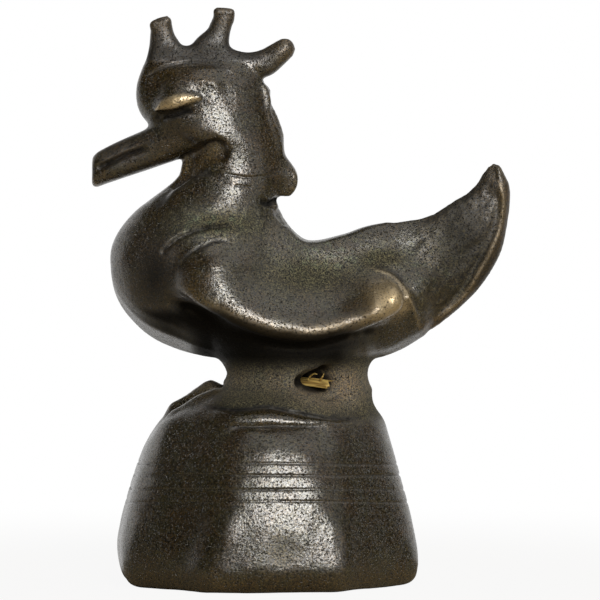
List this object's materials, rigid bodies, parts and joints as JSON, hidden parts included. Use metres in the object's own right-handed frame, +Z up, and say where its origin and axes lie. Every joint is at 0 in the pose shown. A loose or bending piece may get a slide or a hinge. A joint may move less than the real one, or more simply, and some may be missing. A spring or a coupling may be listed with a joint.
{
  "type": "bird shaped balance weight",
  "caption": "Cast bronze balance weight: a crested water bird with upswept tail on a pierced waist and an eight-sided tapering base, with a stub of split cane in the waist.",
  "frame": {"origin": "centre of the base's flat underside", "axes": "+Z up, +X from the breast to the tail, so that the bill points along -X; +Y to the bird's right side, away from the camera"},
  "size_m": [0.0437, 0.0318, 0.0606],
  "materials": {
    "bronze": "dark brown patina, worn satin on the ridges",
    "rubbed_bronze": "rubbed to a soft golden shine",
    "cane": "dry split cane"
  },
  "bodies": {
    "root": {"base": "bronze", "waist": "bronze", "body": "bronze", "wing_left": "bronze", "wing_right": "bronze", "tail": "bronze", "tail_rim": "bronze", "neck": "bronze", "head": "bronze", "bill_upper": "bronze", "bill_lower": "bronze", "eye_left": "rubbed_bronze", "eye_right": "rubbed_bronze", "comb": "bronze", "crest_front": "bronze", "crest_middle": "bronze", "crest_rear": "bronze", "mane": "bronze", "cane_strip": "cane", "cane_fibres": "cane"}
  },
  "joints": []
}
